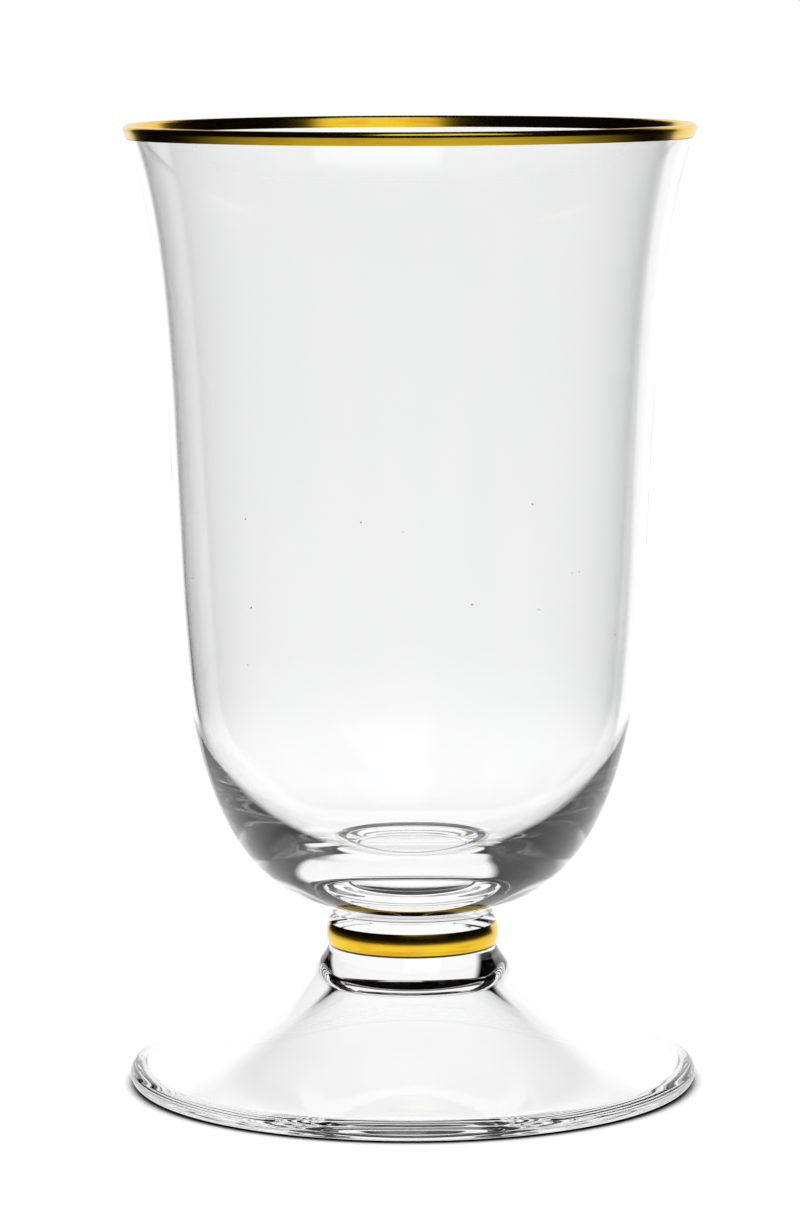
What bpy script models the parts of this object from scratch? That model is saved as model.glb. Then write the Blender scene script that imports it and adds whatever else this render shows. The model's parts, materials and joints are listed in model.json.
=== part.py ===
"""Footed tumbler: a blown glass bowl on a short stem and a spreading foot, with two gilded bands.

Metres, +Z up. The origin is the centre of the ring that the tumbler stands on. Every piece is
turned about +Z from an outline of (radius, height) points, which starts on the piece's own base.
"""

from math import cos, pi, radians, sin, tan

import bmesh
import bpy
from mathutils import Vector
from mathutils.geometry import interpolate_bezier

# Clearance between pieces that are fused or fired onto each other
SEAM_GAP = 0.0003

# Foot: a bell with a rounded edge, hollow beneath, that stands on a narrow flat ring
FOOT_HEIGHT = 0.0220
FOOT_RADIUS = 0.04535
FOOT_EDGE_ROUND = 0.0017
FOOT_EDGE_SLOPE = radians(19.7)
HOLLOW_SLOPE = radians(15.0)
REST_WIDTH = 0.0018
CROWN_THICKNESS = 0.0067
CROWN_RADIUS = 0.0100
CROWN_ROUND = 0.0040
FLANK_SLOPE = radians(42.0)
NECK_RADIUS = 0.0132
NECK_LEAN = radians(28.7)

# Stem: a short solid drum, a little fuller in the middle
STEM_HEIGHT = 0.0050
STEM_BULGE = 0.00025

# Bowl: a thick base, a full shoulder, a nearly straight side and a flared lip
BOWL_HEIGHT = 0.1249
WAIST_RADIUS = 0.0127
SHOULDER_RISE = radians(41.4)
SIDE_HEIGHT = 0.0413
SIDE_RADIUS = 0.03613
SIDE_LEAN = radians(5.6)
LIP_RADIUS = 0.0446
LIP_FLARE = radians(14.6)
WALL = 0.0013
BASE_THICKNESS = 0.0074
KNEE_SLOPE = radians(45.0)

# Gilding: fired gold over the lip and round the stem
GILDING_THICKNESS = 0.0002
LIP_GILDING_DEPTH = 0.0020
STEM_GILDING_ABOVE_SEAM = 0.0002
STEM_GILDING_BELOW_WAIST = 0.0013

# Where the cavity turns from floor to side, as shares of its radius and its depth up to the side
KNEE_REACH = 0.715
KNEE_RISE = 0.205

# How far each curve keeps to its end directions, as a share of its own rise, reach or length
NECK_PULL = 0.69
FOOT_EDGE_PULL = 0.27
HOLLOW_EDGE_PULL = 0.24
FLANK_PULL = 0.40
SHOULDER_PULL = 0.204
SIDE_PULL_DOWN = 0.934
SIDE_PULL_UP = 0.315
LIP_PULL = 0.30
FLOOR_PULL = 0.507
KNEE_PULL_DOWN = 0.262
KNEE_PULL_UP = 0.453
CAVITY_PULL = 0.141

# Fineness of the turned pieces
TURN_STEPS = 56
CURVE_POINTS = 12
ROUND_POINTS = 7
SHARP_EDGE = radians(35.0)
MERGE_DISTANCE = 0.000001

# Places of the pieces' bases along the axis
STEM_BASE = FOOT_HEIGHT + SEAM_GAP
BOWL_BASE = STEM_BASE + STEM_HEIGHT + SEAM_GAP


def clear_scene():
    """Remove what a new Blender file holds."""
    for item in list(bpy.data.objects):
        bpy.data.objects.remove(item, do_unlink=True)


def at(radius, height):
    """Return the point of an outline at a radius and a height."""
    return Vector((radius, 0.0, height))


def along(lean):
    """Return the unit direction that runs upwards, leaning out from the axis by an angle."""
    return at(sin(lean), cos(lean))


def outward(lean):
    """Return the unit direction square to along(lean), pointing out of the piece."""
    return at(cos(lean), -sin(lean))


def curve(start, start_handle, end_handle, end):
    """Return the points of one cubic curve, both ends included."""
    return interpolate_bezier(start, start_handle, end_handle, end, CURVE_POINTS)


def arc(centre, radius, first, last):
    """Return the points of a circular arc between two angles from +X towards +Z, ends included."""
    turn = (last - first) / (ROUND_POINTS - 1)
    angles = [first + turn * index for index in range(ROUND_POINTS)]
    return [centre + radius * at(cos(angle), sin(angle)) for angle in angles]


def chain(*runs):
    """Join runs of points end to end, keeping each shared end once."""
    points = list(runs[0])
    for run in runs[1:]:
        first = 1 if (run[0] - points[-1]).length < MERGE_DISTANCE else 0
        points.extend(run[first:])
    return points


def foot_outline():
    """Return the foot's outline: crown and flank of the hollow, rest ring, edge, bell and neck."""
    crown = FOOT_HEIGHT - CROWN_THICKNESS
    corner_centre = at(CROWN_RADIUS, crown - CROWN_ROUND)
    corner = arc(corner_centre, CROWN_ROUND, pi / 2, pi / 2 - FLANK_SLOPE)
    rest_outer = FOOT_RADIUS - FOOT_EDGE_ROUND
    rest = at(rest_outer - REST_WIDTH, 0.0)
    edge_centre = at(rest_outer, FOOT_EDGE_ROUND)
    edge = arc(edge_centre, FOOT_EDGE_ROUND, -pi / 2, pi / 2 - FOOT_EDGE_SLOPE)
    neck = at(NECK_RADIUS, FOOT_HEIGHT)

    lead = FLANK_PULL * (rest - corner[-1]).length
    reach_in = HOLLOW_EDGE_PULL * rest.x
    flank = curve(
        corner[-1],
        corner[-1] + lead * outward(FLANK_SLOPE),
        rest + at(-reach_in, reach_in * tan(HOLLOW_SLOPE)),
        rest,
    )
    drop = NECK_PULL * (neck.z - edge[-1].z)
    reach_back = FOOT_EDGE_PULL * (edge[-1].x - neck.x)
    bell = curve(
        edge[-1],
        edge[-1] + at(-reach_back, reach_back * tan(FOOT_EDGE_SLOPE)),
        neck + at(drop * tan(NECK_LEAN), -drop),
        neck,
    )
    return chain([at(0.0, crown)], corner, flank, edge, bell, [at(0.0, FOOT_HEIGHT)])


def stem_radius(height):
    """Return the stem's radius at a height above its base."""
    share = height / STEM_HEIGHT
    straight = NECK_RADIUS + (WAIST_RADIUS - NECK_RADIUS) * share
    return straight + STEM_BULGE * 4.0 * share * (1.0 - share)


def stem_side(low, high, offset):
    """Return points up the stem's side between two heights, set out from it by an offset."""
    rise = (high - low) / (ROUND_POINTS - 1)
    heights = [low + rise * index for index in range(ROUND_POINTS)]
    return [at(stem_radius(height) + offset, height) for height in heights]


def stem_outline():
    """Return the stem's outline, from its lower face up its side to its upper face."""
    side = stem_side(0.0, STEM_HEIGHT, 0.0)
    return chain([at(0.0, 0.0)], side, [at(0.0, STEM_HEIGHT)])


def lip_centre():
    """Return the centre of the lip's rounding, above the bowl's base."""
    return at(LIP_RADIUS - WALL / 2, BOWL_HEIGHT - WALL / 2)


def lip_section(offset):
    """Return the lip's section, from inside over the top to outside, set out by an offset.

    The gilded depth of the wall is straight on both sides, so that the gold lies along it.
    """
    half = WALL / 2 + offset
    leg = LIP_GILDING_DEPTH * along(LIP_FLARE)
    top = arc(lip_centre(), half, pi - LIP_FLARE, -LIP_FLARE)
    return chain([top[0] - leg], top, [top[-1] - leg])


def bowl_outline():
    """Return the bowl's outline: cavity, inner wall, lip, outer wall, shoulder and waist."""
    floor = at(0.0, BASE_THICKNESS)
    side = at(SIDE_RADIUS, SIDE_HEIGHT)
    inner_side = side - WALL * outward(SIDE_LEAN)
    waist = at(WAIST_RADIUS, 0.0)
    lip = lip_section(0.0)
    up = SIDE_PULL_UP * (BOWL_HEIGHT - SIDE_HEIGHT) * along(SIDE_LEAN)
    down = LIP_PULL * (BOWL_HEIGHT - SIDE_HEIGHT) * along(LIP_FLARE)

    knee = at(KNEE_REACH * inner_side.x, floor.z + KNEE_RISE * (inner_side.z - floor.z))
    knee_tangent = along(pi / 2 - KNEE_SLOPE)
    below, above = (knee - floor).length, (inner_side - knee).length
    bottom = curve(
        floor,
        floor + at(FLOOR_PULL * below, 0.0),
        knee - KNEE_PULL_DOWN * below * knee_tangent,
        knee,
    )
    cavity = curve(
        knee,
        knee + KNEE_PULL_UP * above * knee_tangent,
        inner_side - CAVITY_PULL * above * along(SIDE_LEAN),
        inner_side,
    )
    inner_wall = curve(inner_side, inner_side + up, lip[0] - down, lip[0])
    outer_wall = curve(lip[-1], lip[-1] - down, side + up, side)
    reach = SHOULDER_PULL * (side.x - waist.x)
    shoulder = curve(
        side,
        side - SIDE_PULL_DOWN * SIDE_HEIGHT * along(SIDE_LEAN),
        waist + at(reach, reach * tan(SHOULDER_RISE)),
        waist,
    )
    return chain(bottom, cavity, inner_wall, lip, outer_wall, shoulder, [at(0.0, 0.0)])


def lip_gilding_outline():
    """Return the closed outline of the gold that wraps the lip, about the bowl's own base."""
    outside = lip_section(SEAM_GAP + GILDING_THICKNESS)
    inside = lip_section(SEAM_GAP)
    return outside + inside[::-1]


def stem_gilding_outline():
    """Return the closed outline of the gold band round the stem, about the stem's own base."""
    low = STEM_GILDING_ABOVE_SEAM
    high = STEM_HEIGHT - STEM_GILDING_BELOW_WAIST
    outside = stem_side(low, high, SEAM_GAP + GILDING_THICKNESS)
    inside = stem_side(low, high, SEAM_GAP)
    return inside + outside[::-1]


def material(name, colour, metallic, roughness, transmission):
    """Return a Principled material."""
    made = bpy.data.materials.new(name)
    made.use_nodes = True
    shader = made.node_tree.nodes["Principled BSDF"]
    shader.inputs["Base Color"].default_value = (*colour, 1.0)
    shader.inputs["Metallic"].default_value = metallic
    shader.inputs["Roughness"].default_value = roughness
    shader.inputs["Transmission Weight"].default_value = transmission
    made.diffuse_color = (*colour, 1.0)
    return made


def glass(name):
    """Return clear soda glass."""
    return material(name, (0.96, 0.97, 0.97), 0.0, 0.02, 1.0)


def gold(name):
    """Return bright fired gold."""
    return material(name, (0.83, 0.61, 0.16), 1.0, 0.18, 0.0)


def turned(name, outline, closed, base, finish, parent):
    """Turn an outline about +Z into one closed object that stands at a height on the axis."""
    form = bmesh.new()
    corners = [form.verts.new(point) for point in outline]
    ends = corners[1:] + corners[:1] if closed else corners[1:]
    edges = [form.edges.new(pair) for pair in zip(corners, ends)]
    bmesh.ops.spin(
        form,
        geom=corners + edges,
        cent=(0.0, 0.0, 0.0),
        axis=(0.0, 0.0, 1.0),
        angle=2.0 * pi,
        steps=TURN_STEPS,
        use_merge=True,
    )
    bmesh.ops.remove_doubles(form, verts=form.verts, dist=MERGE_DISTANCE)
    bmesh.ops.recalc_face_normals(form, faces=form.faces)

    mesh = bpy.data.meshes.new(name)
    form.to_mesh(mesh)
    form.free()
    mesh.shade_smooth()
    mesh.set_sharp_from_angle(angle=SHARP_EDGE)
    mesh.materials.append(finish)

    piece = bpy.data.objects.new(name, mesh)
    piece.location = (0.0, 0.0, base)
    piece.parent = parent
    bpy.context.collection.objects.link(piece)
    return piece


def main():
    """Build the tumbler under one empty."""
    clear_scene()
    tumbler = bpy.data.objects.new("tumbler", None)
    bpy.context.collection.objects.link(tumbler)

    turned("foot", foot_outline(), False, 0.0, glass("foot_glass"), tumbler)
    turned("stem", stem_outline(), False, STEM_BASE, glass("stem_glass"), tumbler)
    turned("bowl", bowl_outline(), False, BOWL_BASE, glass("bowl_glass"), tumbler)
    turned("rim_gilding", lip_gilding_outline(), True, BOWL_BASE, gold("rim_gold"), tumbler)
    turned("stem_gilding", stem_gilding_outline(), True, STEM_BASE, gold("stem_gold"), tumbler)


main()
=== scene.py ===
"""Looks of a clear footed tumbler, gilded at the lip and round the stem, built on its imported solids.

The glass is turned from smooth outlines by one Geometry Nodes tree, and a second tree strews air
bubbles through the bowl's wall. Bowl, stem and foot meet at fused seams that bend no light, so
together they look like the one piece of glass that they are.
"""

from __future__ import annotations

import json
import logging
from dataclasses import dataclass, field
from enum import Enum
from math import cos, pi, radians, sin, tan
from typing import Any, Union

import bmesh
import bpy
from mathutils import Matrix, Vector
from mathutils.geometry import interpolate_bezier

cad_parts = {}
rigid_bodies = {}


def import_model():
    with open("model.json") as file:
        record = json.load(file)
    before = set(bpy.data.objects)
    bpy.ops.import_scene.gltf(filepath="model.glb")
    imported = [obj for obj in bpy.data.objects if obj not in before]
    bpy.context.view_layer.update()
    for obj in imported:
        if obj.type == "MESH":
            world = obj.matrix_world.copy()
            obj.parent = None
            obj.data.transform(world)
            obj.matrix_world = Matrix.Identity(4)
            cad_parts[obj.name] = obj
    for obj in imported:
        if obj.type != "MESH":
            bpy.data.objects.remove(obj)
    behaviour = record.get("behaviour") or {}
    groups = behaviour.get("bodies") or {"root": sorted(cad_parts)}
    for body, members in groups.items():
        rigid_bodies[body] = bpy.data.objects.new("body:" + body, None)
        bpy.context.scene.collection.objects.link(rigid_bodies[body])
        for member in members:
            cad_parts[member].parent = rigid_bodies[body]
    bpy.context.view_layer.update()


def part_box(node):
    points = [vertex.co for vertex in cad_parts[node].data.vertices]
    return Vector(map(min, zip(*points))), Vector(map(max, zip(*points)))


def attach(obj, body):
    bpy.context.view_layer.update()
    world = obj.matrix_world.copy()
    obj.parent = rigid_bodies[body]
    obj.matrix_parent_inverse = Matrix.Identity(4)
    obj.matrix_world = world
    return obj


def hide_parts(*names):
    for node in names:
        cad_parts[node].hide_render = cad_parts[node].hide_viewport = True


LOG = logging.getLogger("tumbler")
BODY = "root"
PHOTO_HEIGHT = 1228.0
SENSOR_WIDTH = 36.0
BOUNCES = 32
WHITE = (1.0, 1.0, 1.0, 1.0)
BLACK = (0.0, 0.0, 0.0, 1.0)

# Points along a short straight stretch of an outline and across a seam
LINE_POINTS = 3
SEAM_POINTS = 6

# The attribute that holds what a face is
PART_NAME = "part"

# Sockets, by number, of nodes that keep a set of sockets for every type of data
MIX_COLOURS = (6, 7)
MIX_COLOUR_RESULT = 2
COMPARED_INTEGERS = (2, 3)
RANDOM_LIMITS = (2, 3)
RANDOM_FLOAT = 1

Value = Union["Wire", float, int, tuple]
Span = tuple[float, float]
Triple = tuple[float, float, float]
Colour = tuple[float, float, float, float]


class Wire:
    """One output socket of a node tree, with arithmetic that adds Math nodes."""

    def __init__(self, graph: Graph, socket: bpy.types.NodeSocket | None) -> None:
        """Keep the tree and the socket."""
        self.graph = graph
        self.socket = socket

    def __add__(self, other: Value) -> Wire:
        """Return self + other."""
        return self.graph.maths("ADD", self, other)

    def __radd__(self, other: Value) -> Wire:
        """Return other + self."""
        return self.graph.maths("ADD", other, self)

    def __sub__(self, other: Value) -> Wire:
        """Return self - other."""
        return self.graph.maths("SUBTRACT", self, other)

    def __rsub__(self, other: Value) -> Wire:
        """Return other - self."""
        return self.graph.maths("SUBTRACT", other, self)

    def __mul__(self, other: Value) -> Wire:
        """Return self * other."""
        return self.graph.maths("MULTIPLY", self, other)

    def __truediv__(self, other: Value) -> Wire:
        """Return self / other."""
        return self.graph.maths("DIVIDE", self, other)

    def __mod__(self, other: Value) -> Wire:
        """Return the remainder of self / other."""
        return self.graph.maths("MODULO", self, other)


class Graph:
    """A node tree that is filled through its methods."""

    def __init__(self, tree: bpy.types.NodeTree) -> None:
        """Keep the tree and empty it."""
        self.tree = tree
        tree.nodes.clear()

    def node(
        self,
        kind: str,
        settings: dict[str, Any] | None = None,
        inputs: dict[Any, Value] | None = None,
        output: Any = 0,
    ) -> Wire:
        """Add a node of any type.

        Args:
            kind: The node's type name.
            settings: Properties that are set first.
            inputs: Values or wires for the input sockets, by name or number.
            output: The output socket that the returned wire reads, by name or number.

        Returns:
            A wire on the chosen output.
        """
        made = self.tree.nodes.new(kind)
        for name, value in (settings or {}).items():
            setattr(made, name, value)
        for name, value in (inputs or {}).items():
            if isinstance(value, Wire):
                self.tree.links.new(value.socket, made.inputs[name])
            else:
                made.inputs[name].default_value = value
        return Wire(self, made.outputs[output] if made.outputs else None)

    def other(self, wire: Wire, output: Any) -> Wire:
        """Return a wire on another output of the same node."""
        return Wire(self, wire.socket.node.outputs[output])

    def maths(self, operation: str, first: Value, second: Value = 0.0) -> Wire:
        """Return the result of one Math node."""
        return self.node("ShaderNodeMath", {"operation": operation}, {0: first, 1: second})

    def most(self, first: Value, second: Value) -> Wire:
        """Return the larger of two values."""
        return self.maths("MAXIMUM", first, second)

    def rise(self, value: Wire, start: float, end: float) -> Wire:
        """Return a smooth step from 0 at start to 1 at end."""
        return self.node(
            "ShaderNodeMapRange",
            {"interpolation_type": "SMOOTHSTEP"},
            {"Value": value, "From Min": start, "From Max": end},
        )

    def mix(self, share: Value, first: Value, second: Value) -> Wire:
        """Return the mix of two colours, all of the second where the share is 1."""
        low, high = MIX_COLOURS
        inputs = {0: share, low: first, high: second}
        return self.node("ShaderNodeMix", {"data_type": "RGBA"}, inputs, MIX_COLOUR_RESULT)

    def axes(self, place: Wire) -> tuple[Wire, Wire, Wire]:
        """Return the X, Y and Z of a place or direction."""
        across = self.node("ShaderNodeSeparateXYZ", inputs={0: place}, output="X")
        return across, self.other(across, "Y"), self.other(across, "Z")

    def object_place(self) -> Wire:
        """Return the place on the object, in its own coordinates."""
        return self.node("ShaderNodeTexCoord", output="Object")

    def noise(self, place: Wire, size: float, detail: float = 2.0) -> Wire:
        """Return noise that is the same in every direction."""
        inputs = {"Vector": place, "Scale": size, "Detail": detail}
        return self.node("ShaderNodeTexNoise", inputs=inputs)

    def drawn_noise(self, place: Wire, sizes: Triple, detail: float) -> Wire:
        """Return noise that is drawn out, with a scale of its own along each axis."""
        drawn = self.node("ShaderNodeMapping", inputs={"Vector": place, "Scale": sizes})
        return self.noise(drawn, 1.0, detail)

    def bump(self, height: Wire, distance: float) -> Wire:
        """Return the normal of a surface that a height raises by up to a distance."""
        return self.node("ShaderNodeBump", inputs={"Height": height, "Distance": distance})

    def surface(self, inputs: dict[str, Value]) -> None:
        """End a material in a Principled shader with the given inputs."""
        shader = self.node("ShaderNodeBsdfPrincipled", inputs=inputs)
        self.node("ShaderNodeOutputMaterial", inputs={"Surface": shader})


def new_material(name: str) -> tuple[bpy.types.Material, Graph]:
    """Return an empty material and the graph that fills it."""
    made = bpy.data.materials.new(name)
    made.use_nodes = True
    return made, Graph(made.node_tree)


@dataclass(frozen=True)
class ClearGlass:
    """Clear fire-polished glass."""

    name: str
    colour: Colour = (0.997, 0.998, 0.998, 1.0)
    cord_colour: Colour = (0.986, 0.990, 0.989, 1.0)
    cord_size: Triple = (160.0, 160.0, 22.0)
    cord_detail: float = 3.0
    cord_edge: Span = (0.42, 0.68)
    wave_size: float = 70.0
    wave_height: float = 0.000010
    index: float = 1.5
    roughness: float = 0.0

    def make(self) -> bpy.types.Material:
        """Return the material, with upright cords in its tint and slow waves in its surface."""
        made, graph = new_material(self.name)
        place = graph.object_place()
        cords = graph.drawn_noise(place, self.cord_size, self.cord_detail)
        tint = graph.mix(graph.rise(cords, *self.cord_edge), self.colour, self.cord_colour)
        waves = graph.noise(place, self.wave_size)
        graph.surface(
            {
                "Base Color": tint,
                "Roughness": self.roughness,
                "IOR": self.index,
                "Transmission Weight": 1.0,
                "Normal": graph.bump(waves, self.wave_height),
            }
        )
        return made


@dataclass(frozen=True)
class FusedSeam:
    """The face where two gathers of glass are fused, which bends and stops no light."""

    name: str

    def make(self) -> bpy.types.Material:
        """Return the material, which lets everything through."""
        made, graph = new_material(self.name)
        graph.surface({"Alpha": 0.0})
        return made


@dataclass(frozen=True)
class FiredGold:
    """Bright fired gold, brushed on by hand."""

    name: str
    colour: Colour = (0.92, 0.60, 0.030, 1.0)
    deep_colour: Colour = (0.80, 0.43, 0.022, 1.0)
    roughness: float = 0.13
    roughness_spread: float = 0.10
    patch_size: float = 95.0
    patch_edge: Span = (0.45, 0.72)
    stroke_size: Triple = (160.0, 160.0, 3200.0)
    stroke_detail: float = 4.0
    stroke_height: float = 0.000004

    def make(self) -> bpy.types.Material:
        """Return the material: brush strokes run round the axis, and thin patches are deeper."""
        made, graph = new_material(self.name)
        place = graph.object_place()
        strokes = graph.drawn_noise(place, self.stroke_size, self.stroke_detail)
        patches = graph.noise(place, self.patch_size)
        mean = (patches + strokes) * 0.5
        thin = graph.rise(mean, *self.patch_edge)
        graph.surface(
            {
                "Base Color": graph.mix(thin, self.colour, self.deep_colour),
                "Roughness": self.roughness + strokes * self.roughness_spread,
                "Metallic": 1.0,
                "Normal": graph.bump(strokes, self.stroke_height),
            }
        )
        return made


@dataclass(frozen=True)
class GoldUnderside:
    """The back of the fired gold, seen through the glass that it lies on."""

    name: str
    colour: Colour = (0.036, 0.024, 0.012, 1.0)
    thin_colour: Colour = (0.022, 0.014, 0.007, 1.0)
    patch_size: float = 220.0
    patch_edge: Span = (0.35, 0.65)
    roughness: float = 0.42
    roughness_spread: float = 0.16

    def make(self) -> bpy.types.Material:
        """Return the material, darker and rougher in patches where the gold is thin."""
        made, graph = new_material(self.name)
        patches = graph.noise(graph.object_place(), self.patch_size)
        thin = graph.rise(patches, *self.patch_edge)
        graph.surface(
            {
                "Base Color": graph.mix(thin, self.colour, self.thin_colour),
                "Roughness": self.roughness + thin * self.roughness_spread,
                "Metallic": 1.0,
            }
        )
        return made


class Part(Enum):
    """What the faces along a stretch of an outline are."""

    SURFACE = 0
    SEAM = 1
    GILDED = 2


@dataclass
class Outline:
    """A run of (radius, height) points that is turned about +Z, up its outer side."""

    points: list[Vector] = field(default_factory=list)
    parts: list[Part] = field(default_factory=list)

    def add(self, run: list[Vector], part: Part = Part.SURFACE) -> Outline:
        """Add a run of points that starts where the outline ends.

        Args:
            run: The points, in order.
            part: What the faces along the run are.

        Returns:
            The outline itself.
        """
        first = 1 if self.points else 0
        self.points.extend(run[first:])
        self.parts.extend([part] * (len(run) - 1))
        return self

    def mesh(self, name: str, closed: bool) -> bpy.types.Mesh:
        """Return the outline as a mesh of edges, each with its part as a number.

        Args:
            name: The mesh's name.
            closed: Whether an edge joins the last point to the first.

        Returns:
            The mesh.
        """
        count = len(self.points)
        edges = [(index, index + 1) for index in range(count - 1)]
        parts = [part.value for part in self.parts]
        if closed:
            edges.append((count - 1, 0))
            parts.append(Part.SURFACE.value)
        made = bpy.data.meshes.new(name)
        made.from_pydata(self.points, edges, [])
        made.attributes.new(PART_NAME, "INT", "EDGE").data.foreach_set("value", parts)
        return made


def at(radius: float, height: float) -> Vector:
    """Return the point of an outline at a radius and a height."""
    return Vector((radius, 0.0, height))


def along(lean: float) -> Vector:
    """Return the unit direction that runs upwards and leans out from the axis by an angle."""
    return at(sin(lean), cos(lean))


def outward(lean: float) -> Vector:
    """Return the unit direction square to along(lean), away from the axis."""
    return at(cos(lean), -sin(lean))


def curve(start: Vector, leave: Vector, arrive: Vector, end: Vector, count: int) -> list[Vector]:
    """Return the points of a cubic curve, both ends included.

    Args:
        start: First point.
        leave: Where the curve heads when it leaves the first point.
        arrive: Where the curve comes from when it reaches the last point.
        end: Last point.
        count: Number of points.

    Returns:
        The points in order.
    """
    return interpolate_bezier(start, leave, arrive, end, count)


def straight(start: Vector, end: Vector, count: int = LINE_POINTS) -> list[Vector]:
    """Return evenly spaced points from start to end."""
    return [start.lerp(end, index / (count - 1)) for index in range(count)]


def arc(centre: Vector, radius: float, first: float, last: float, count: int) -> list[Vector]:
    """Return the points of a circular arc between two angles from +X towards +Z."""
    turn = (last - first) / (count - 1)
    angles = [first + turn * index for index in range(count)]
    return [centre + radius * at(cos(angle), sin(angle)) for angle in angles]


class Shaper:
    """A Geometry Nodes tree that makes one plain mesh of another.

    Each kind of shaper names its tree and its sockets, and adds its nodes in fill.
    """

    NAME: str
    SOURCE: str
    INPUTS: dict[str, str]
    RESULT: str

    def __init__(self) -> None:
        """Make the tree, give it its sockets and fill it."""
        self.tree = bpy.data.node_groups.new(self.NAME, "GeometryNodeTree")
        self._add_socket(self.SOURCE, "INPUT", "NodeSocketGeometry")
        self.ids = {name: self._add_socket(name, "INPUT", kind) for name, kind in self.INPUTS.items()}
        self._add_socket(self.RESULT, "OUTPUT", "NodeSocketGeometry")
        self.fill(Graph(self.tree))

    def _add_socket(self, name: str, side: str, kind: str) -> str:
        """Add a socket to the tree and return its identifier."""
        return self.tree.interface.new_socket(name, in_out=side, socket_type=kind).identifier

    def fill(self, graph: Graph) -> None:
        """Add the tree's nodes."""
        raise NotImplementedError

    def apply(self, name: str, source: bpy.types.Mesh, values: dict[str, Any]) -> bpy.types.Mesh:
        """Return the plain mesh that the tree makes of another mesh.

        Args:
            name: The new mesh's name.
            source: The mesh that goes in.
            values: The tree's other inputs, by name.

        Returns:
            The new mesh.
        """
        blank = bpy.data.objects.new(name + "_source", source)
        bpy.context.collection.objects.link(blank)
        modifier = blank.modifiers.new("shape", "NODES")
        modifier.node_group = self.tree
        for key, value in values.items():
            modifier[self.ids[key]] = value
        shape = blank.evaluated_get(bpy.context.evaluated_depsgraph_get())
        made = bpy.data.meshes.new_from_object(shape)
        made.name = name
        bpy.data.objects.remove(blank, do_unlink=True)
        return made


class Lathe(Shaper):
    """A tree that turns an outline about +Z and dresses its faces."""

    NAME = "turn_outline"
    SOURCE = "Outline"
    INPUTS = {
        "Steps": "NodeSocketInt",
        "Surface": "NodeSocketMaterial",
        "Seam": "NodeSocketMaterial",
        "Gilded": "NodeSocketMaterial",
    }
    RESULT = "Turned"
    STEPS = 240
    MERGE = 1e-6
    SHARP = radians(35.0)

    def fill(self, graph: Graph) -> None:
        """Add the nodes: a grid with a row for each outline point is wrapped round the axis."""
        outline = graph.node("NodeGroupInput", output=self.SOURCE)
        steps = graph.other(outline, "Steps")
        runs = graph.node(
            "GeometryNodeAttributeDomainSize", {"component": "MESH"}, {0: outline}, "Edge Count"
        )
        points = graph.other(runs, "Point Count")
        rows = runs + 1
        grid = graph.node(
            "GeometryNodeMeshGrid", inputs={"Vertices X": steps + 1, "Vertices Y": rows}
        )
        index = graph.node("GeometryNodeInputIndex")
        # Half a point keeps rounding from putting a column's first point in the column before it
        column = graph.maths("FLOOR", (index + 0.5) / rows)
        angle = column / steps * (2.0 * pi)
        position = graph.node("GeometryNodeInputPosition")
        place = self._sample(graph, outline, position, index % rows % points, "FLOAT_VECTOR", "POINT")
        radius, _, height = graph.axes(place)
        cosine = graph.maths("COSINE", angle)
        sine = graph.maths("SINE", angle)
        turned = graph.node(
            "ShaderNodeCombineXYZ", inputs={0: radius * cosine, 1: radius * sine, 2: height}
        )
        number = graph.node(
            "GeometryNodeInputNamedAttribute", {"data_type": "INT"}, {"Name": PART_NAME}, "Attribute"
        )
        part = self._sample(graph, outline, number, index % runs, "INT", "EDGE")
        marked = graph.node(
            "GeometryNodeStoreNamedAttribute",
            {"data_type": "INT", "domain": "FACE"},
            {"Geometry": grid, "Name": PART_NAME, "Value": part},
        )
        moved = graph.node("GeometryNodeSetPosition", inputs={"Geometry": marked, "Position": turned})
        shape = graph.node(
            "GeometryNodeMergeByDistance", inputs={"Geometry": moved, "Distance": self.MERGE}
        )
        shape = graph.node("GeometryNodeSetShadeSmooth", inputs={"Geometry": shape})
        shape = graph.node("GeometryNodeRealizeInstances", inputs={"Geometry": shape})
        first, second = COMPARED_INTEGERS
        for kind in Part:
            same = graph.node(
                "FunctionNodeCompare",
                {"data_type": "INT", "operation": "EQUAL"},
                {first: number, second: kind.value},
            )
            material = graph.other(outline, kind.name.capitalize())
            shape = graph.node(
                "GeometryNodeSetMaterial",
                inputs={"Geometry": shape, "Selection": same, "Material": material},
            )
        graph.node("NodeGroupOutput", inputs={self.RESULT: shape})

    @staticmethod
    def _sample(
        graph: Graph, source: Wire, value: Wire, index: Wire, data: str, domain: str
    ) -> Wire:
        """Return a value of the outline's points or edges at an index."""
        return graph.node(
            "GeometryNodeSampleIndex",
            {"data_type": data, "domain": domain},
            {"Geometry": source, "Value": value, "Index": index},
        )

    def turn(
        self,
        name: str,
        outline: Outline,
        surface: bpy.types.Material,
        seam: bpy.types.Material | None = None,
        gilding: bpy.types.Material | None = None,
        closed: bool = False,
    ) -> bpy.types.Object:
        """Turn an outline into a plain mesh.

        Args:
            name: The piece's name.
            outline: What is turned, up its outer side.
            surface: Material of the plain stretches.
            seam: Material of the fused stretches.
            gilding: Material of the gilded stretches.
            closed: Whether the outline is a loop that stays off the axis.

        Returns:
            The finished object, at the origin.
        """
        values = {
            "Steps": self.STEPS,
            "Surface": surface,
            "Seam": seam or surface,
            "Gilded": gilding or surface,
        }
        mesh = self.apply(name, outline.mesh(name + "_outline", closed), values)
        mesh.set_sharp_from_angle(angle=self.SHARP)
        mesh.attributes.remove(mesh.attributes[PART_NAME])
        piece = bpy.data.objects.new(name, mesh)
        bpy.context.collection.objects.link(piece)
        return piece


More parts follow.
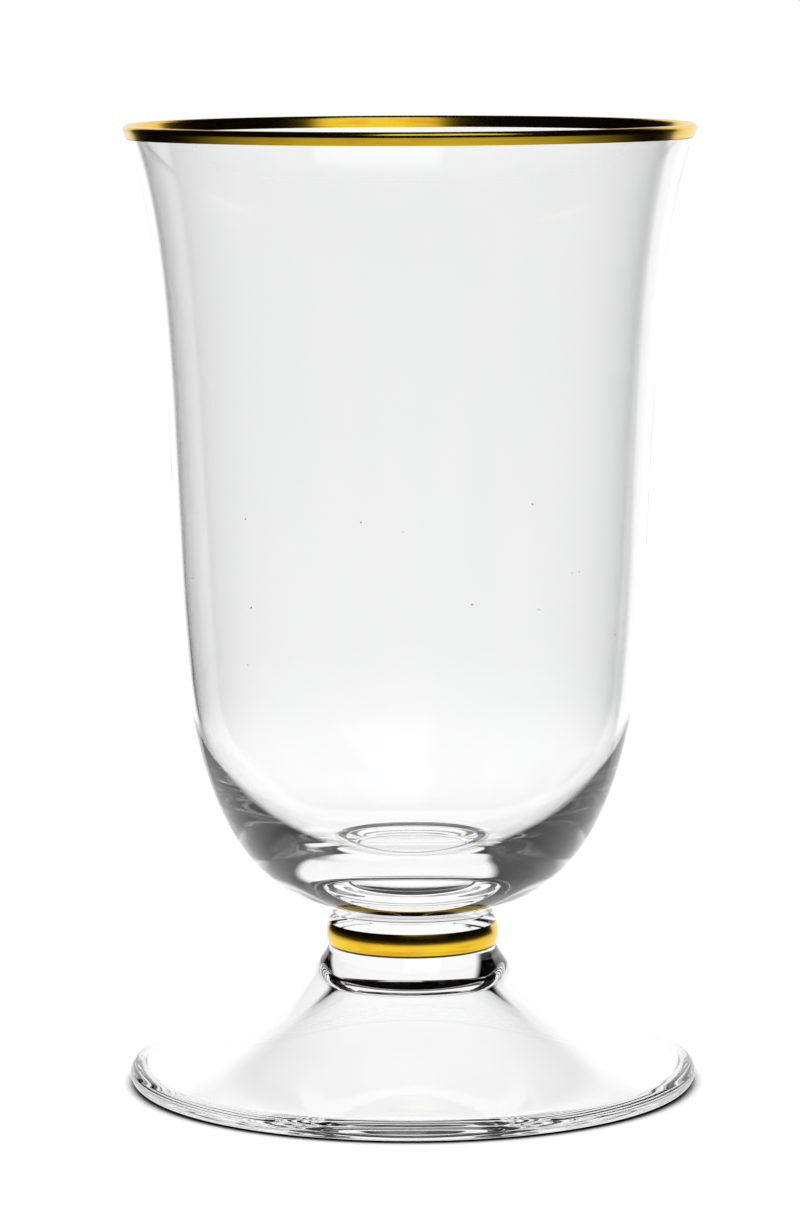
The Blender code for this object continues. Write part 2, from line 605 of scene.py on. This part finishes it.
class Seeds(Shaper):
    """A tree that strews tiny bubbles of air through a wall of glass."""

    NAME = "strew_seeds"
    SOURCE = "Wall"
    INPUTS = {
        "Density": "NodeSocketFloat",
        "Pattern": "NodeSocketInt",
        "Glass": "NodeSocketMaterial",
    }
    RESULT = "Seeds"
    DENSITY = 1300.0
    RADII = (0.00008, 0.00015)
    PATTERN = 4
    SUBDIVISIONS = 3

    def fill(self, graph: Graph) -> None:
        """Add the nodes. A bubble's faces look inwards, to the air that it holds."""
        wall = graph.node("NodeGroupInput", output=self.SOURCE)
        pattern = graph.other(wall, "Pattern")
        points = graph.node(
            "GeometryNodeDistributePointsOnFaces",
            inputs={"Mesh": wall, "Density": graph.other(wall, "Density"), "Seed": pattern},
        )
        ball = graph.node(
            "GeometryNodeMeshIcoSphere", inputs={"Radius": 1.0, "Subdivisions": self.SUBDIVISIONS}
        )
        limits = dict(zip(RANDOM_LIMITS, self.RADII))
        size = graph.node(
            "FunctionNodeRandomValue",
            {"data_type": "FLOAT"},
            {**limits, "Seed": pattern},
            RANDOM_FLOAT,
        )
        strewn = graph.node(
            "GeometryNodeInstanceOnPoints", inputs={"Points": points, "Instance": ball, "Scale": size}
        )
        shape = graph.node("GeometryNodeRealizeInstances", inputs={"Geometry": strewn})
        shape = graph.node("GeometryNodeFlipFaces", inputs={"Mesh": shape})
        shape = graph.node("GeometryNodeSetShadeSmooth", inputs={"Geometry": shape})
        shape = graph.node(
            "GeometryNodeSetMaterial",
            inputs={"Geometry": shape, "Material": graph.other(wall, "Glass")},
        )
        graph.node("NodeGroupOutput", inputs={self.RESULT: shape})

    def strew(self, piece: bpy.types.Object, wall: bpy.types.Mesh) -> None:
        """Add bubbles to a piece of glass.

        Args:
            piece: The piece, whose first material is its glass.
            wall: A surface in the middle of the piece's wall, which the bubbles lie on.
        """
        values = {
            "Density": self.DENSITY,
            "Pattern": self.PATTERN,
            "Glass": piece.data.materials[0],
        }
        seeds = self.apply("seeds", wall, values)
        both = bmesh.new()
        both.from_mesh(piece.data)
        both.from_mesh(seeds)
        both.to_mesh(piece.data)
        both.free()
        bpy.data.meshes.remove(seeds)


class Workshop:
    """The lathe and the finishes that the pieces are made with."""

    def __init__(self) -> None:
        """Make the lathe and the finishes that several pieces have."""
        self.lathe = Lathe()
        self.seam = FusedSeam("fused_seam").make()
        self.underside = GoldUnderside("gold_underside").make()

    def glass(self, name: str, outline: Outline, gilded: bool) -> bpy.types.Object:
        """Return a piece of clear glass with fused seams.

        Args:
            name: The name of the piece and of its glass.
            outline: What is turned.
            gilded: Whether part of the piece lies under gold.

        Returns:
            The piece.
        """
        underside = self.underside if gilded else None
        return self.lathe.turn(name, outline, ClearGlass(name).make(), self.seam, underside)

    def film(self, name: str, outline: Outline, gold: str) -> bpy.types.Object:
        """Return a film of gold, turned from a loop."""
        return self.lathe.turn(name, outline, FiredGold(gold).make(), closed=True)


def dress(piece: bpy.types.Object, node: str) -> bpy.types.Object:
    """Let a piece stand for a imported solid.

    Args:
        piece: The finished piece.
        node: The solid that it replaces.

    Returns:
        The piece.
    """
    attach(piece, BODY)
    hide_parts(node)
    return piece


@dataclass
class Levels:
    """Heights and radii that the pieces share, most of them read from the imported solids."""

    neck_radius: float = 0.01325
    waist_radius: float = 0.0127
    film: float = 0.00004
    film_lift: float = 0.2
    neck: float = field(init=False)
    waist: float = field(init=False)
    lip_top: float = field(init=False)
    lip_radius: float = field(init=False)
    foot_radius: float = field(init=False)
    band_low: float = field(init=False)
    band_high: float = field(init=False)
    band_radius: float = field(init=False)

    def __post_init__(self) -> None:
        """Read the solids' boxes."""
        foot, stem, bowl = (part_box(name) for name in ("foot", "stem", "bowl"))
        rim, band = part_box("rim_gilding"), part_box("stem_gilding")
        self.neck = (foot[1][2] + stem[0][2]) / 2
        self.waist = (stem[1][2] + bowl[0][2]) / 2
        self.lip_top = rim[1][2] - self.film
        self.lip_radius = rim[1][0] - self.film
        self.foot_radius = foot[1][0]
        self.band_low, self.band_high = band[0][2], band[1][2]
        self.band_radius = band[1][0] - self.film

    def film_inside(self) -> float:
        """Return how far the film's inner face lies off the glass."""
        return self.film * self.film_lift


@dataclass
class Foot:
    """The spreading foot: a bell with a rounded edge, hollow beneath."""

    levels: Levels
    neck_lean: float = radians(28.7)
    neck_pull: float = 0.69
    edge_round: float = 0.0017
    edge_slope: float = radians(19.7)
    edge_pull: float = 0.27
    rest_width: float = 0.0018
    crown_height: float = 0.0153
    crown_radius: float = 0.0100
    crown_dome: float = radians(0.4)
    corner_round: float = 0.0040
    flank_slope: float = radians(42.0)
    flank_pull: float = 0.40
    hollow_slope: float = radians(15.0)
    hollow_reach: float = 0.0100
    crown_points: int = 24
    corner_points: int = 24
    flank_points: int = 60
    edge_points: int = 28
    bell_points: int = 72

    def hollow(self, rest: Vector) -> list[Vector]:
        """Return the hollow's section: a nearly flat crown, a rounded corner and a sloping flank.

        Args:
            rest: Inner end of the ring that the foot stands on.

        Returns:
            The points in order, from the axis out.
        """
        dome = self.crown_radius / sin(self.crown_dome)
        top = at(0.0, self.crown_height - dome)
        crown_end, corner_end = pi / 2 - self.crown_dome, pi / 2 - self.flank_slope
        crown = arc(top, dome, pi / 2, crown_end, self.crown_points)
        bend = crown[-1] - self.corner_round * along(self.crown_dome)
        corner = arc(bend, self.corner_round, crown_end, corner_end, self.corner_points)
        lead = self.flank_pull * (rest - corner[-1]).length
        flank = curve(
            corner[-1],
            corner[-1] + lead * outward(self.flank_slope),
            rest + at(-self.hollow_reach, self.hollow_reach * tan(self.hollow_slope)),
            rest,
            self.flank_points,
        )
        return crown + corner[1:] + flank[1:]

    def outline(self) -> Outline:
        """Return the outline, from the hollow's crown out to the edge and up to the neck."""
        level = self.levels
        rest_outer = level.foot_radius - self.edge_round
        rest = at(rest_outer - self.rest_width, 0.0)
        edge_centre = at(rest_outer, self.edge_round)
        edge_end = pi / 2 - self.edge_slope
        edge = arc(edge_centre, self.edge_round, -pi / 2, edge_end, self.edge_points)
        neck = at(level.neck_radius, level.neck)
        back = self.edge_pull * (edge[-1].x - neck.x)
        drop = self.neck_pull * (neck.z - edge[-1].z)
        bell = curve(
            edge[-1],
            edge[-1] + at(-back, back * tan(self.edge_slope)),
            neck + at(drop * tan(self.neck_lean), -drop),
            neck,
            self.bell_points,
        )
        return (
            Outline()
            .add(self.hollow(rest))
            .add(straight(rest, edge[0]))
            .add(edge)
            .add(bell)
            .add(straight(neck, at(0.0, level.neck), SEAM_POINTS), Part.SEAM)
        )

    def build(self, shop: Workshop) -> list[bpy.types.Object]:
        """Return the finished foot."""
        return [dress(shop.glass("foot_glass", self.outline(), False), "foot")]


@dataclass
class Stem:
    """The short solid stem, a little fuller where the gilded band runs."""

    levels: Levels
    low_swell: float = 0.00028
    low_pull: float = 0.26
    high_swell: float = 0.00005
    high_pull: float = 0.68
    side_points: int = 40
    band_points: int = 60

    def side(self, count: int) -> list[Vector]:
        """Return points up the stem's side."""
        level = self.levels
        low, high = level.neck, level.waist
        rise = high - low
        return curve(
            at(level.neck_radius, low),
            at(level.band_radius + self.low_swell, low + self.low_pull * rise),
            at(level.band_radius + self.high_swell, low + self.high_pull * rise),
            at(level.waist_radius, high),
            count,
        )

    def outline(self) -> Outline:
        """Return the outline, from the lower seam up the side to the upper seam."""
        level = self.levels
        run = self.side(self.side_points)
        made = Outline().add(straight(at(0.0, level.neck), run[0], SEAM_POINTS), Part.SEAM)
        for first, second in zip(run, run[1:]):
            gilded = level.band_low < first.z and second.z < level.band_high
            made.add([first, second], Part.GILDED if gilded else Part.SURFACE)
        return made.add(straight(run[-1], at(0.0, level.waist), SEAM_POINTS), Part.SEAM)

    def band(self) -> Outline:
        """Return the loop of the gilded band."""
        level = self.levels
        run = [
            point
            for point in self.side(self.band_points)
            if level.band_low <= point.z <= level.band_high
        ]
        outer = [point + at(level.film, 0.0) for point in run]
        inner = [point + at(level.film_inside(), 0.0) for point in run]
        return Outline().add(outer + inner[::-1])

    def build(self, shop: Workshop) -> list[bpy.types.Object]:
        """Return the finished stem and its gilded band."""
        glass = shop.glass("stem_glass", self.outline(), True)
        film = shop.film("stem_film", self.band(), "stem_gold")
        return [dress(glass, "stem"), dress(film, "stem_gilding")]


@dataclass
class Bowl:
    """The bowl: a thick base, a full shoulder, a nearly straight side and a flared lip."""

    levels: Levels
    shoulder_rise: float = radians(43.0)
    shoulder_pull: float = 0.0061
    side_height: float = 0.0684
    side_radius: float = 0.03609
    side_lean: float = radians(5.87)
    side_down: float = 0.0383
    side_up: float = 0.0246
    lip_flare: float = radians(20.9)
    lip_pull: float = 0.0190
    wall: float = 0.00125
    floor_height: float = 0.0350
    floor_pull: float = 0.01307
    knee_radius: float = 0.0249
    knee_height: float = 0.04185
    knee_slope: float = radians(45.0)
    knee_down: float = 0.00676
    knee_up: float = 0.0120
    cavity_down: float = 0.0080
    lip_depth: float = 0.0019
    gilded_outside: float = 0.00125
    gilded_inside: float = 0.00155
    lip_points: int = 24
    gilded_points: int = 8
    shoulder_points: int = 72
    wall_points: int = 60
    knee_points: int = 36
    floor_points: int = 44
    middle_points: int = 24
    seeded_points: int = 11

    def lip(self, offset: float) -> list[Vector]:
        """Return the gilded section of the lip from outside over the top to inside.

        Args:
            offset: How far the section lies off the glass.

        Returns:
            The points in order.
        """
        half = self.wall / 2
        centre = at(self.levels.lip_radius - half, self.levels.lip_top - half)
        flare = along(self.lip_flare)
        top = arc(centre, half + offset, -self.lip_flare, pi - self.lip_flare, self.lip_points)
        outer = straight(top[0] - self.gilded_outside * flare, top[0], self.gilded_points)
        inner = straight(top[-1], top[-1] - self.gilded_inside * flare, self.gilded_points)
        return outer + top[1:-1] + inner

    def outline(self) -> Outline:
        """Return the outline, from the waist up the outside, over the lip and down the inside."""
        level = self.levels
        waist = at(level.waist_radius, level.waist)
        side = at(self.side_radius, self.side_height)
        inner = side - self.wall * outward(self.side_lean)
        knee = at(self.knee_radius, self.knee_height)
        floor = at(0.0, self.floor_height)
        lip = self.lip(0.0)
        lean, flare = along(self.side_lean), along(self.lip_flare)
        lip_outside = lip[0] - (self.lip_depth - self.gilded_outside) * flare
        lip_inside = lip[-1] - (self.lip_depth - self.gilded_inside) * flare
        slope = along(pi / 2 - self.knee_slope)
        shoulder = curve(
            waist,
            waist + self.shoulder_pull * along(pi / 2 - self.shoulder_rise),
            side - self.side_down * lean,
            side,
            self.shoulder_points,
        )
        outer_wall = curve(
            side,
            side + self.side_up * lean,
            lip_outside - self.lip_pull * flare,
            lip_outside,
            self.wall_points,
        )
        inner_wall = curve(
            lip_inside,
            lip_inside - self.lip_pull * flare,
            inner + self.side_up * lean,
            inner,
            self.wall_points,
        )
        upper = curve(
            inner,
            inner - self.cavity_down * lean,
            knee + self.knee_up * slope,
            knee,
            self.knee_points,
        )
        lower = curve(
            knee,
            knee - self.knee_down * slope,
            floor + at(self.floor_pull, 0.0),
            floor,
            self.floor_points,
        )
        return (
            Outline()
            .add(straight(at(0.0, level.waist), waist, SEAM_POINTS), Part.SEAM)
            .add(shoulder)
            .add(outer_wall)
            .add(straight(lip_outside, lip[0]))
            .add(lip, Part.GILDED)
            .add(straight(lip[-1], lip_inside))
            .add(inner_wall)
            .add(upper)
            .add(lower)
        )

    def middle(self) -> Outline:
        """Return the middle of the side wall's lower part, where the glass has bubbles."""
        half = self.wall / 2
        side = at(self.side_radius, self.side_height) - half * outward(self.side_lean)
        lean, flare = along(self.side_lean), along(self.lip_flare)
        end = self.lip(0.0)[0] - half * outward(self.lip_flare) - self.lip_depth * flare
        leave, arrive = side + self.side_up * lean, end - self.lip_pull * flare
        run = curve(side, leave, arrive, end, self.middle_points)
        return Outline().add(run[: self.seeded_points])

    def gilding(self) -> Outline:
        """Return the loop of the gold film that wraps the lip."""
        return Outline().add(self.lip(self.levels.film) + self.lip(self.levels.film_inside())[::-1])

    def build(self, shop: Workshop) -> list[bpy.types.Object]:
        """Return the finished bowl, with bubbles in its wall, and its gilded lip."""
        glass = shop.glass("bowl_glass", self.outline(), True)
        wall = shop.lathe.turn("wall", self.middle(), glass.data.materials[0])
        Seeds().strew(glass, wall.data)
        bpy.data.objects.remove(wall, do_unlink=True)
        film = shop.film("rim_film", self.gilding(), "rim_gold")
        return [dress(glass, "bowl"), dress(film, "rim_gilding")]


@dataclass
class Studio:
    """A white floor under a pool of light, a white sweep behind, a white card and a dim room.

    The camera sees nothing but white and the shadow. Glass and gold all see the same studio, so
    thick glass is edged in dark against the sweep, and gold holds bright and dark bands. Angles
    round the axis run from the sweep's middle, or from the camera's side for the card, and heights
    are angles above the floor.
    """

    floor_half: float = 4.0
    floor_drop: float = 0.0001
    floor_albedo: float = 0.80
    floor_glow: float = 0.92
    ambient: float = 0.10
    room: float = 0.002
    lamp_power: float = 1.2
    lamp_size: float = 0.8
    lamp_place: Triple = (-0.25, -0.20, 1.20)
    sweep_sides: Span = (radians(-31.0), radians(46.0))
    soft: float = radians(3.0)
    sweep_top: Span = (radians(26.0), radians(34.0))
    pool_edge: Span = (0.10, 0.34)
    card_sides: Span = (radians(-46.0), radians(15.0))
    card_heights: Span = (radians(26.0), radians(66.0))
    # Reach, edges and samples of the painted contact shadow on the floor
    painted_shadow_reach: float = 0.003
    painted_shadow_edge: Span = (0.25, 0.85)
    painted_shadow_samples: int = 8

    def rays(self, graph: Graph) -> tuple[Wire, Wire]:
        """Return a flag for a camera ray and one for any ray that shows the studio."""
        camera = graph.node("ShaderNodeLightPath", output="Is Camera Ray")
        glossy = graph.other(camera, "Is Glossy Ray")
        through = graph.other(camera, "Is Transmission Ray")
        return camera, graph.most(camera, graph.most(glossy, through))

    def within(self, graph: Graph, angle: Wire, ends: Span) -> Wire:
        """Return 1 where an angle lies between two ends, with soft edges."""
        low, high = ends
        after = graph.rise(angle, low - self.soft, low + self.soft)
        return after - after * graph.rise(angle, high - self.soft, high + self.soft)

    def round_axis(self, graph: Graph, place: Wire) -> tuple[Wire, Wire]:
        """Return the angles of a place or direction from the sweep's side and from the camera's."""
        across, away, _ = graph.axes(place)
        behind = graph.maths("ARCTAN2", across, away)
        return behind, graph.maths("ARCTAN2", 0.0 - across, 0.0 - away)

    def make_world(self) -> None:
        """Make the world: the sweep's upper part, the white card in front and the dim room."""
        world = bpy.data.worlds.new("studio")
        world.use_nodes = True
        bpy.context.scene.world = world
        graph = Graph(world.node_tree)
        camera, seen = self.rays(graph)
        direction = graph.node("ShaderNodeTexCoord", output="Generated")
        _, _, upward = graph.axes(direction)
        height = graph.maths("ARCSINE", upward)
        behind, front = self.round_axis(graph, direction)
        below_top = 1.0 - graph.rise(height, *self.sweep_top)
        sweep = self.within(graph, behind, self.sweep_sides) * below_top
        card_across = self.within(graph, front, self.card_sides)
        card = card_across * self.within(graph, height, self.card_heights)
        white = graph.most(graph.most(sweep, card), camera)
        shown = graph.most(white, self.room)
        strength = shown * seen + (1.0 - seen) * self.ambient
        background = graph.node("ShaderNodeBackground", inputs={0: WHITE, 1: strength})
        graph.node("ShaderNodeOutputWorld", inputs={"Surface": background})

    def floor_material(self) -> bpy.types.Material:
        """Return the floor's material, lit in a pool round the object and in the sweep behind it, with
        a painted contact shadow where the object is close.
        """
        made, graph = new_material("white_sweep")
        camera, seen = self.rays(graph)
        place = graph.object_place()
        reach = graph.node("ShaderNodeVectorMath", {"operation": "LENGTH"}, {0: place}, "Value")
        pool = 1.0 - graph.rise(reach, *self.pool_edge)
        behind, _ = self.round_axis(graph, place)
        white = graph.most(graph.most(pool, self.within(graph, behind, self.sweep_sides)), camera)
        # Painted contact shadow: for camera rays the floor's glow and colour are darkened where
        # ambient occlusion finds the object close
        near = graph.node(
            "ShaderNodeAmbientOcclusion",
            {"samples": self.painted_shadow_samples},
            {"Distance": self.painted_shadow_reach},
            "AO",
        )
        shade = 1.0 - (1.0 - graph.rise(near, *self.painted_shadow_edge)) * camera
        strength = graph.most(white, self.room) * shade
        pale = graph.mix(strength * self.floor_albedo, BLACK, WHITE)
        matt = graph.node("ShaderNodeBsdfDiffuse", inputs={"Color": pale})
        glow = graph.node("ShaderNodeEmission", inputs={"Strength": strength * seen * self.floor_glow})
        both = graph.node("ShaderNodeAddShader", inputs={0: matt, 1: glow})
        graph.node("ShaderNodeOutputMaterial", inputs={"Surface": both})
        return made

    def make_floor(self) -> None:
        """Add the floor, which keeps the lamp's shadow and a painted contact shadow."""
        half, drop = self.floor_half, -self.floor_drop
        mesh = bpy.data.meshes.new("floor")
        corners = [(-half, -half, drop), (half, -half, drop), (half, half, drop), (-half, half, drop)]
        mesh.from_pydata(corners, [], [(0, 1, 2, 3)])
        mesh.materials.append(self.floor_material())
        floor = bpy.data.objects.new("floor", mesh)
        bpy.context.collection.objects.link(floor)

    def make_lamp(self) -> None:
        """Add the soft overhead lamp, which gives the floor its shadow and shows in no surface."""
        lamp = bpy.data.lights.new("overhead", "AREA")
        lamp.energy = self.lamp_power
        lamp.size = self.lamp_size
        holder = bpy.data.objects.new("overhead", lamp)
        holder.location = self.lamp_place
        holder.rotation_euler = (-holder.location).to_track_quat("-Z", "Y").to_euler()
        holder.visible_glossy = False
        holder.visible_transmission = False
        bpy.context.collection.objects.link(holder)

    def build(self) -> None:
        """Make the world, the floor and the lamp."""
        self.make_world()
        self.make_floor()
        self.make_lamp()


@dataclass
class Viewpoint:
    """Where the camera stands and how it is turned."""

    distance: float = 0.7887
    height: float = 0.1760
    pitch: float = radians(7.278)
    yaw: float = radians(-0.131)
    roll: float = radians(-0.195)
    focal_pixels: float = 5000.4
    clip_end: float = 50.0

    def place(self) -> None:
        """Make the camera and set it as the scene's own."""
        data = bpy.data.cameras.new("camera")
        data.sensor_width = SENSOR_WIDTH
        data.lens = SENSOR_WIDTH * self.focal_pixels / PHOTO_HEIGHT
        data.clip_end = self.clip_end
        camera = bpy.data.objects.new("camera", data)
        bpy.context.collection.objects.link(camera)
        camera.matrix_world = (
            Matrix.Translation((0.0, -self.distance, self.height))
            @ Matrix.Rotation(-self.yaw, 4, "Z")
            @ Matrix.Rotation(pi / 2 - self.pitch, 4, "X")
            @ Matrix.Rotation(self.roll, 4, "Z")
        )
        bpy.context.scene.camera = camera


def main() -> None:
    """Build the tumbler, the studio and the camera."""
    logging.basicConfig(level=logging.INFO, format="%(name)s %(message)s")
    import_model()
    scene = bpy.context.scene
    scene.view_settings.view_transform = "Standard"
    scene.cycles.max_bounces = BOUNCES
    scene.cycles.transmission_bounces = BOUNCES
    scene.cycles.glossy_bounces = BOUNCES
    scene.cycles.transparent_max_bounces = BOUNCES

    levels = Levels()
    shop = Workshop()
    for assembly in (Foot(levels), Stem(levels), Bowl(levels)):
        for piece in assembly.build(shop):
            LOG.info("%s: %d faces", piece.name, len(piece.data.polygons))

    Studio().build()
    Viewpoint().place()


if __name__ == "__main__":
    main()
